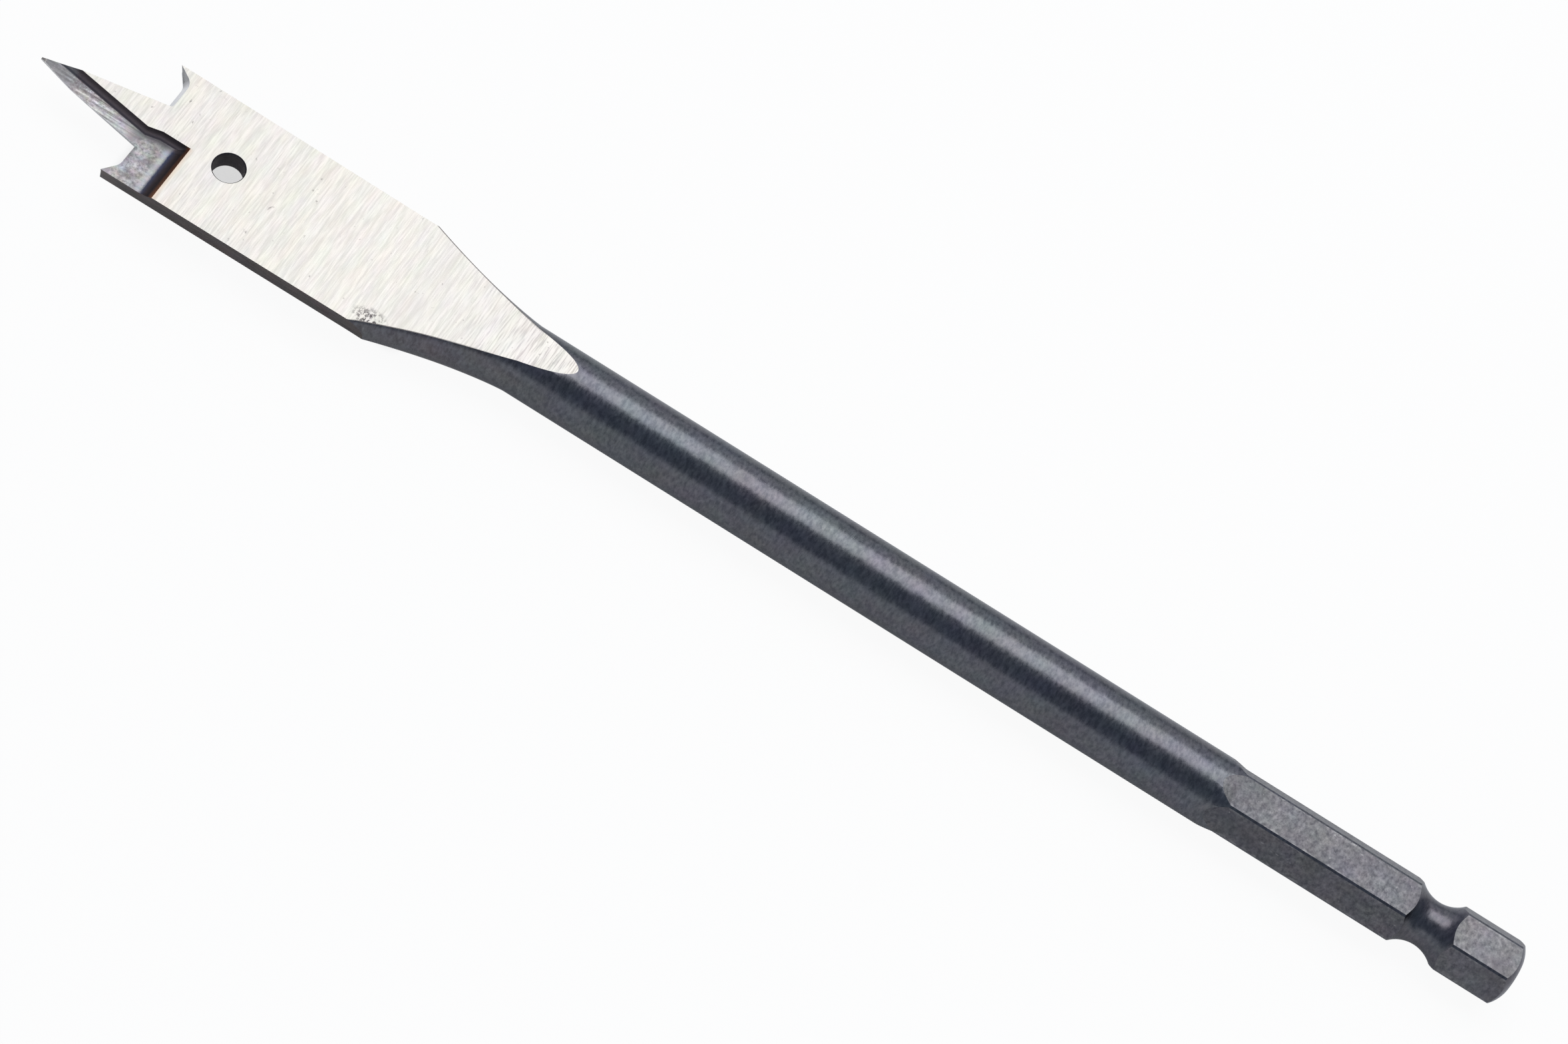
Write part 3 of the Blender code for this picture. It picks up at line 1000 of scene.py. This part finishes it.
@dataclass(frozen=True)
class HexFinish(SteelFinish):
    """Blackened flats of the drive end, scuffed grey and rubbed bright along their corners."""

    turn: float
    dark: Colour = (0.070, 0.069, 0.077)
    worn: Colour = (0.180, 0.176, 0.181)
    bare: Colour = (0.30, 0.295, 0.295)
    rubbed_end: Point2 = (0.0050, 0.0085)
    roughness: float = 0.36
    relief: float = 0.0000060
    tint: float = 0.08
    mottle: Pattern = Pattern((2500.0, 2100.0, 2100.0), detail=4.0, rough=0.68)
    broad: Pattern = Pattern((240.0, 420.0, 420.0), (3.0, 1.0, 8.0))
    nicks: Pattern = Pattern((1100.0, 1900.0, 1900.0), (9.0, 4.0, 2.0), 3.0, 0.7)
    hues: Pattern = Pattern((420.0, 500.0, 500.0), (4.0, 2.0, 7.0))

    def dress(self, nodes: SteelNodes) -> None:
        """Mottles the flats, more at the end, then rubs their corners and nicks them."""
        mottle, nicks = nodes.grain(self.mottle), nodes.grain(self.nicks)
        broad = nodes.span(nodes.grain(self.broad), 0.30, 0.70, 0.5)
        at_end = nodes.along(0.0, self.rubbed_end, 0.16, 0.0)
        share = nodes.math("ADD", nodes.product(nodes.span(mottle, 0.32, 0.68), broad), at_end)
        colour = nodes.tinted(nodes.blend(share, self.dark, self.worn), self.hues, self.tint)
        around = nodes.math("ADD", nodes.math("ARCTAN2", nodes.y, nodes.z), -self.turn)
        corner = nodes.math("COSINE", nodes.product(around, FLATS))
        corner = nodes.span(corner, -0.80, -0.97, 0.0, 0.45)
        rubbed = nodes.product(corner, nodes.span(nicks, 0.50, 0.62))
        knocks = nodes.span(nicks, 0.66, 0.74, 0.0, 0.7)
        colour = nodes.blend(nodes.math("MAXIMUM", rubbed, knocks), colour, self.bare)
        rough = nodes.span(mottle, 0.30, 0.70, self.roughness + 0.05, self.roughness - 0.03)
        nodes.finish(colour, rough, mottle, self.relief)


@dataclass(frozen=True)
class FluteFinish(SteelFinish):
    """Flutes: a grey pitted floor, streaked along the point, and walls in painted shade with a brown
    rim; the floor's dark beside the walls is painted shade too.
    """

    head: CuttingHead
    # The pits' dark, which also paints the shade in the floor's corners and beside the wall.
    pit_and_shade: Colour = (0.075, 0.072, 0.077)
    floor: Colour = (0.47, 0.455, 0.45)
    groove: Colour = (0.155, 0.150, 0.152)
    streak: Colour = (0.60, 0.59, 0.585)
    # Painted shade on the walls: near black at the end, dark blue at its foot and a lighter dark beside
    # the point. The brown is the rim's heat colour.
    painted_shade: Colour = (0.085, 0.064, 0.060)
    blue_shade: Colour = (0.045, 0.055, 0.095)
    brown: Colour = (0.52, 0.23, 0.12)
    wall_shade: Colour = (0.145, 0.120, 0.125)
    fringe: Colour = (0.32, 0.335, 0.365)
    point_from_root: Point2 = (0.0, 0.0015)
    rubbed_from_root: Point2 = (0.0010, 0.0050)
    dark_from_facet: Point2 = (-0.0004, 0.0010)
    dark_from_tip: Point2 = (-0.0012, -0.0005)
    steel_from_facet: Point2 = (0.0, 0.0006)
    blue_shade_from_foot: Point2 = (-0.0010, -0.0004)
    wall_shade_from_foot: Point2 = (0.0, 0.0003)
    brown_from_rim: Point2 = (0.0005, 0.0001)
    fringe_from_wall: Point2 = (0.0, 0.0005)
    # Reaches from the axis of the floor's painted shade in the corners and beside the wall, and of the
    # end wall's colours.
    corner_shade_from_axis: Point2 = (0.0011, 0.0018)
    floor_shade_from_axis: Point2 = (0.0010, 0.0034)
    wall_from_axis: Point2 = (0.0009, 0.0014)
    edge_wander: float = 0.00006
    edge_blend: Point2 = (0.00001, 0.00004)
    relief: float = 0.000012
    tint: float = 0.20
    streaks: Pattern = Pattern((210.0, 4200.0, 2500.0), detail=3.0, rough=0.6)
    grit: Pattern = Pattern((3000.0, 3400.0, 3400.0), (4.0, 4.0, 1.0), 4.0, 0.7)
    patches: Pattern = Pattern((700.0, 900.0, 900.0), (8.0, 2.0, 5.0))
    hues: Pattern = Pattern((900.0, 1300.0, 1300.0), (1.0, 1.0, 6.0))

    @property
    def foot(self) -> float:
        """Station where a flute's floor meets its end wall."""
        return self.head.flute_end + self.head.flute_end_run

    def bottom(self, nodes: SteelNodes) -> Socket:
        """Colours the floor: pitted beside the lip, streaked on the point, with painted shade beside the
        wall and in the corners.

        Args:
            nodes: The material's nodes.

        Returns:
            The floor's colour.
        """
        grit, streaks = nodes.grain(self.grit), nodes.grain(self.streaks)
        on_point = nodes.along(self.head.lip, self.point_from_root)
        patches = nodes.span(nodes.grain(self.patches), 0.35, 0.65, 0.4)
        pitted = nodes.product(nodes.span(grit, 0.32, 0.68, 0.1), patches)
        # Painted shade: the floor darkens towards the wall, near the axis.
        pitted = nodes.product(pitted, nodes.span(nodes.outward, *self.floor_shade_from_axis, 0.55))
        near_wall = nodes.math("ABSOLUTE", nodes.math("SUBTRACT", nodes.x, self.foot))
        rubbed = nodes.along(self.head.lip, self.rubbed_from_root, 0.30, 0.85)
        rubbed = nodes.product(nodes.span(streaks, 0.34, 0.64), rubbed)
        colour = nodes.layered(
            self.pit_and_shade,
            (pitted, self.floor),
            (nodes.span(near_wall, *self.fringe_from_wall, 0.6, 0.0), self.fringe),
            (on_point, nodes.blend(rubbed, self.groove, self.streak)),
            (nodes.along(self.head.facet_root, self.dark_from_facet, 0.0, 0.75), self.groove),
            (nodes.along(self.head.blank.length, self.dark_from_tip, 0.0, 0.7), self.pit_and_shade),
        )
        colour = nodes.tinted(colour, self.hues, self.tint)
        off_point = nodes.math("SUBTRACT", 1.0, on_point)
        # Painted shade in the floor's corners beside the walls, away from the point.
        corner = nodes.product(nodes.span(nodes.outward, *self.corner_shade_from_axis, 0.75, 0.0), off_point)
        return nodes.blend(corner, colour, self.pit_and_shade)

    def wall(self, nodes: SteelNodes) -> Socket:
        """Colours the walls with painted shade: near black, dark blue at the end wall's foot and a
        lighter dark beside the point, with a brown rim.

        Args:
            nodes: The material's nodes.

        Returns:
            The walls' colour.
        """
        facet, streaks = self.head.facet_root, nodes.grain(self.streaks)
        at_end = nodes.span(nodes.outward, *self.wall_from_axis)
        blue_shaded = nodes.product(nodes.along(self.foot, self.blue_shade_from_foot), at_end)
        steel = nodes.blend(nodes.span(streaks, 0.40, 0.62, 0.0, 0.16), self.groove, self.streak)
        # Each dark layer below is painted shade; the brown rim and the grey steel at the facet are the
        # steel's own colours.
        return nodes.layered(
            self.wall_shade,
            (at_end, self.painted_shade),
            (blue_shaded, self.blue_shade),
            (nodes.along(self.head.flute_end, self.brown_from_rim), self.brown),
            (nodes.along(self.foot, self.wall_shade_from_foot), self.wall_shade),
            (nodes.along(facet, self.steel_from_facet), steel),
        )

    def dress(self, nodes: SteelNodes) -> None:
        """Colours the floor and the walls, with a ragged line between the two."""
        streaks, grit = nodes.grain(self.streaks), nodes.grain(self.grit)
        outward = nodes.math("MAXIMUM", nodes.outward, 0.0)
        rise, wander = self.head.flute_rise_per_length, self.edge_wander
        level = nodes.math("MULTIPLY_ADD", outward, rise, self.head.flute_level)
        above = nodes.math("SUBTRACT", nodes.math("ABSOLUTE", nodes.z), level)
        ragged = nodes.math("MULTIPLY_ADD", grit, wander, nodes.math("SUBTRACT", above, wander / 2))
        colour = nodes.blend(nodes.span(ragged, *self.edge_blend), self.bottom(nodes), self.wall(nodes))
        on_point = nodes.along(self.head.lip, self.point_from_root)
        height = nodes.math("MULTIPLY_ADD", on_point, nodes.math("SUBTRACT", streaks, grit), grit)
        nodes.finish(colour, nodes.span(grit, 0.3, 0.7, 0.34, 0.48), height, self.relief)


@dataclass(frozen=True)
class RubbedFinish(SteelFinish):
    """Plain cut steel of one colour, with grain and a little mottling, darkened past a given width as
    painted shade.
    """

    dark: Colour
    light: Colour
    roughness: float = 0.42
    marks: Point3 = (1600.0, 1600.0, 3600.0)
    relief: float = 0.000006
    tint: float = 0.15
    shade_past: float = 1.0
    shade_blend: float = 0.0008
    painted_shade: Colour = (0.20, 0.195, 0.195)
    patches: Pattern = Pattern((500.0, 700.0, 700.0), (2.0, 8.0, 4.0))
    hues: Pattern = Pattern((600.0, 800.0, 800.0))

    def dress(self, nodes: SteelNodes) -> None:
        """Mottles the steel along its marks, then darkens it past the width as painted shade."""
        marks = nodes.grain(Pattern(self.marks, detail=4.0, rough=0.65))
        patches = nodes.grain(self.patches)
        share = nodes.product(nodes.span(marks, 0.34, 0.66), nodes.span(patches, 0.32, 0.68, 0.35))
        colour = nodes.tinted(nodes.blend(share, self.dark, self.light), self.hues, self.tint)
        width = nodes.math("ABSOLUTE", nodes.y)
        # Past that width the steel darkens as painted shade; only the relieved walls reach it, on the
        # spurs.
        past = nodes.span(width, self.shade_past, self.shade_past + self.shade_blend, 0.0, 0.8)
        rough = nodes.span(patches, 0.3, 0.7, self.roughness - 0.05, self.roughness + 0.07)
        nodes.finish(nodes.blend(past, colour, self.painted_shade), rough, marks, self.relief)


@dataclass(frozen=True)
class Tool:
    """One cutter, the finish that it leaves, and how it is repeated about the axis."""

    name: str
    shape: Mesh
    finish: Finish
    copies: int = 1
    first_turn: float = 0.0


class Workshop:
    """Cuts the bit out of its blank and dresses it."""

    MERGE_DISTANCE = 0.0000005
    SHARP_ANGLE = math.radians(22)

    def __init__(self) -> None:
        """Sets out the blank, the cuts in it and where the bit lies."""
        self.fine = Fineness()
        self.blank = ForgedBlank()
        self.drive = DriveEnd(self.blank, self.fine)
        self.blade = Blade(self.blank, self.fine)
        self.head = CuttingHead(self.blank, self.fine, self.blade)
        self.rest = RestPose(self.blank.length)

    def materials(self) -> dict[Finish, bpy.types.Material]:
        """Makes every finish of the bit.

        Returns:
            The material of each finish.
        """
        kinds = {
            Finish.GROUND: GroundFinish(self.head),
            Finish.SIDE: RubbedFinish(
                dark=(0.082, 0.067, 0.062), light=(0.155, 0.130, 0.119), marks=(500.0, 2600.0, 2600.0)
            ),
            Finish.FLUTE: FluteFinish(self.head),
            # The relieved walls' near-white colour is a painted reflection of the bright sheet, and the
            # dark past 5.2 mm from the axis is painted shade on the spurs' inner walls.
            Finish.RELIEF: RubbedFinish(
                dark=(0.82, 0.81, 0.79), light=(0.97, 0.96, 0.94), roughness=0.22, shade_past=0.0052
            ),
            Finish.BORE: RubbedFinish(
                dark=(0.040, 0.034, 0.042),
                light=(0.095, 0.084, 0.096),
                roughness=0.45,
                marks=(900.0, 900.0, 4000.0),
            ),
            Finish.OXIDE: OxideFinish(),
            Finish.FLAT: HexFinish(self.blank.turn),
            Finish.GROOVE: OxideFinish(
                dark=(0.088, 0.087, 0.099),
                worn=(0.21, 0.20, 0.21),
                roughness=0.28,
                marks=Pattern((3600.0, 500.0, 500.0), rough=0.6),
            ),
        }
        return {finish: kind.material(finish.value, self.rest) for finish, kind in kinds.items()}

    def tools(self) -> list[Tool]:
        """Makes every cutter of the bit.

        Returns:
            The cutters, in the order in which they cut.
        """
        drive, blade, head = self.drive, self.blade, self.head
        face = blade.face(head.point_flat, head.facet_length)
        return [
            Tool("hex_flats", drive.flat(), Finish.FLAT, FLATS, -self.blank.turn),
            Tool("locking_groove", drive.groove(), Finish.GROOVE),
            Tool("end_round", drive.end_round(), Finish.GROOVE),
            Tool("ground_faces", face, Finish.GROUND, 2),
            Tool("blade_sides", blade.side(head.spur_from_point), Finish.SIDE, 2),
            Tool("lip_notches", head.notch(), Finish.RELIEF, 2),
            Tool("flutes", head.flute(), Finish.FLUTE, 2),
            Tool("pull_hole", blade.hole(), Finish.BORE),
        ]

    def carve(self) -> Object:
        """Cuts the bit out of its blank, about its own axis.

        Returns:
            The bit, in the finishes of its cuts.
        """
        scene = bpy.context.scene.collection
        finishes = self.materials()
        mesh = self.blank.mesh(self.fine)
        mesh.materials.append(finishes[Finish.OXIDE])
        bit = bpy.data.objects.new("dressed_bit", mesh)
        scene.objects.link(bit)
        copies = TurnedCopies()
        cutters = []
        for tool in self.tools():
            tool.shape.materials.append(finishes[tool.finish])
            cutter = bpy.data.objects.new(tool.name, tool.shape)
            scene.objects.link(cutter)
            if tool.copies > 1:
                copies.spread(cutter, tool.copies, tool.first_turn)
            modifier = bit.modifiers.new(tool.name, "BOOLEAN")
            modifier.object = cutter
            modifier.operation = "DIFFERENCE"
            modifier.solver = "EXACT"
            modifier.material_mode = "TRANSFER"
            modifier.use_self = tool.finish is Finish.FLAT
            cutters.append(cutter)
        graph = bpy.context.evaluated_depsgraph_get()
        cut = bpy.data.meshes.new_from_object(bit.evaluated_get(graph))
        bit.modifiers.clear()
        bit.data = cut
        for cutter in cutters:
            bpy.data.objects.remove(cutter)
        bpy.data.node_groups.remove(copies.tree)
        return bit

    def build(self) -> Object:
        """Makes the bit, lays it down as it rests and hands it to the frame.

        Returns:
            The finished piece, at the origin.
        """
        bit = self.carve()
        mesh = bit.data
        bm = bmesh.new()
        bm.from_mesh(mesh)
        bmesh.ops.remove_doubles(bm, verts=bm.verts, dist=self.MERGE_DISTANCE)
        bm.to_mesh(mesh)
        bm.free()
        mesh.transform(Matrix.Translation(self.rest.place()))
        mesh.shade_smooth()
        mesh.set_sharp_from_angle(angle=self.SHARP_ANGLE)
        LOG.info("bit: %d faces, materials %s", len(mesh.polygons), [m.name for m in mesh.materials])
        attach(bit, BODY)
        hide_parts(NODE)
        return bit


@dataclass(frozen=True)
class Panel:
    """Flat light that faces the bit from over its side.

    Its lean is measured at the bit from straight up, towards +Y. Its size is given along the
    bit and across it, and its glow is its brightness, of which 1 is white.
    """

    name: str
    lean: float
    distance: float
    size: Point2
    glow: float

    def hang(self) -> Object:
        """Makes the panel's light and aims it at the bit.

        Returns:
            The light.
        """
        data = bpy.data.lights.new(self.name, "AREA")
        data.shape = "RECTANGLE"
        data.size, data.size_y = self.size
        data.energy = self.glow * math.pi * self.size[0] * self.size[1]
        lamp = bpy.data.objects.new(self.name, data)
        lamp.location = (0.0, self.distance * math.sin(self.lean), self.distance * math.cos(self.lean))
        lamp.rotation_euler = (-self.lean, 0.0, 0.0)
        bpy.context.scene.collection.objects.link(lamp)
        return lamp


@dataclass(frozen=True)
class Studio:
    """White sheet, soft light and the camera of the photograph.

    The shade under the blade is given by its ends along the sheet and across it, and fades out
    over its edge.
    """

    image_width: int = 2356
    focal_pixels: float = 5900.0
    pixels_per_metre: float = 15780.0
    sensor: float = 36.0
    face_turn: float = math.radians(29.0)
    pitch: float = math.radians(1.66)
    tilt: float = math.radians(31.984)
    aim_from_point: float = 0.0839
    sheet_size: float = 3.0
    sheet_glow: float = 0.94
    mirrored_glow: float = 0.15
    blade_shade: float = 0.34
    shade_along: Point2 = (0.038, 0.072)
    shade_across: Point2 = (-0.0056, 0.0056)
    shade_edge: float = 0.0024
    paper: Colour = (0.82, 0.82, 0.82)
    white: Colour = (1.0, 1.0, 1.0)
    room: Colour = (0.20, 0.235, 0.31)
    panels: tuple[Panel, ...] = (
        Panel("soft_box", math.radians(-22), 0.60, (0.80, 0.50), 2.32),
        Panel("side_card", math.radians(-65), 1.00, (1.60, 0.55), 0.6),
        Panel("low_card", math.radians(78), 1.00, (1.60, 0.40), 0.55),
    )

    def camera(self, rest: RestPose) -> Object:
        """Places the camera.

        Args:
            rest: Where the bit lies.

        Returns:
            The camera.
        """
        level, lean = math.cos(self.pitch), self.face_turn
        back = Vector((-math.sin(self.pitch), level * math.sin(lean), level * math.cos(lean)))
        along = Vector((-1.0, 0.0, 0.0))
        along = (along - back * along.dot(back)).normalized()
        across = along.cross(back)
        right = along * math.cos(self.tilt) - across * math.sin(self.tilt)
        up = -along * math.sin(self.tilt) - across * math.cos(self.tilt)
        aim = Vector((rest.length / 2 - self.aim_from_point, 0.0, rest.height))
        data = bpy.data.cameras.new("camera")
        data.sensor_fit = "HORIZONTAL"
        data.sensor_width = self.sensor
        data.lens = self.focal_pixels / self.image_width * self.sensor
        data.clip_start = 0.01
        camera = bpy.data.objects.new("camera", data)
        bpy.context.scene.collection.objects.link(camera)
        turn = Matrix((right, up, back)).transposed().to_4x4()
        place = Matrix.Translation(aim + back * self.focal_pixels / self.pixels_per_metre)
        camera.matrix_world = place @ turn
        bpy.context.scene.camera = camera
        return camera

    def sheet(self) -> Object:
        """Makes the white sheet, which keeps a share of the bit's shadow.

        Returns:
            The sheet.
        """
        material = bpy.data.materials.new("white_sheet")
        material.use_nodes = True
        nodes = Nodes(material.node_tree)
        nodes.tree.nodes.clear()
        path = nodes.add("ShaderNodeLightPath").outputs
        mirrored = nodes.math("MAXIMUM", path["Is Glossy Ray"], path["Is Transmission Ray"])
        share = nodes.product(mirrored, self.mirrored_glow)
        seen = nodes.math("MULTIPLY_ADD", path["Is Camera Ray"], self.shaded(nodes), share)
        paper = nodes.shade("ShaderNodeBsdfDiffuse", self.paper)
        both = nodes.mixed(seen, paper, nodes.shade("ShaderNodeEmission", self.white))
        nodes.add("ShaderNodeOutputMaterial", Surface=both)
        half = self.sheet_size / 2
        corners = [(-half, -half, 0), (half, -half, 0), (half, half, 0), (-half, half, 0)]
        mesh = bpy.data.meshes.new("sheet")
        mesh.from_pydata(corners, [], [(0, 1, 2, 3)])
        mesh.materials.append(material)
        sheet = bpy.data.objects.new("sheet", mesh)
        bpy.context.scene.collection.objects.link(sheet)
        return sheet

    def shaded(self, nodes: Nodes) -> Socket:
        """Lowers the sheet's glow close under the blade, where the real sheet is in shade.

        Args:
            nodes: Nodes of the sheet's material.

        Returns:
            The share of the glow that the camera sees.
        """
        given = nodes.add("ShaderNodeTexCoord").outputs["Object"]
        places = nodes.add("ShaderNodeSeparateXYZ", Vector=given).outputs
        inside = []
        for place, (low, high) in zip(places, (self.shade_along, self.shade_across)):
            away = nodes.math("ABSOLUTE", nodes.math("SUBTRACT", place, (low + high) / 2))
            half = (high - low) / 2
            edge = half - self.shade_edge
            inside.append(nodes.span(away, edge, half, 1.0, 0.0, "SMOOTHSTEP"))
        return nodes.math("MULTIPLY_ADD", nodes.product(*inside), -self.blade_shade, self.sheet_glow)

    def lights(self) -> None:
        """Hangs the panels over the bit and makes the dim room around it."""
        for panel in self.panels:
            panel.hang()
        world = bpy.data.worlds.new("room")
        bpy.context.scene.world = world
        world.use_nodes = True
        nodes = Nodes(world.node_tree)
        nodes.tree.nodes.clear()
        seen = nodes.add("ShaderNodeLightPath").outputs["Is Camera Ray"]
        room, white = (nodes.shade("ShaderNodeBackground", colour) for colour in (self.room, self.white))
        nodes.add("ShaderNodeOutputWorld", Surface=nodes.mixed(seen, room, white))


def main() -> None:
    """Builds the bit and its studio."""
    logging.basicConfig(level=logging.INFO, format="%(name)s: %(message)s")
    bpy.context.scene.view_settings.view_transform = "Standard"
    workshop = Workshop()
    bit = workshop.build()
    LOG.info("%s made", bit.name)
    studio = Studio()
    studio.camera(workshop.rest)
    studio.sheet()
    studio.lights()
    LOG.info("studio made")


if __name__ == "__main__":
    main()
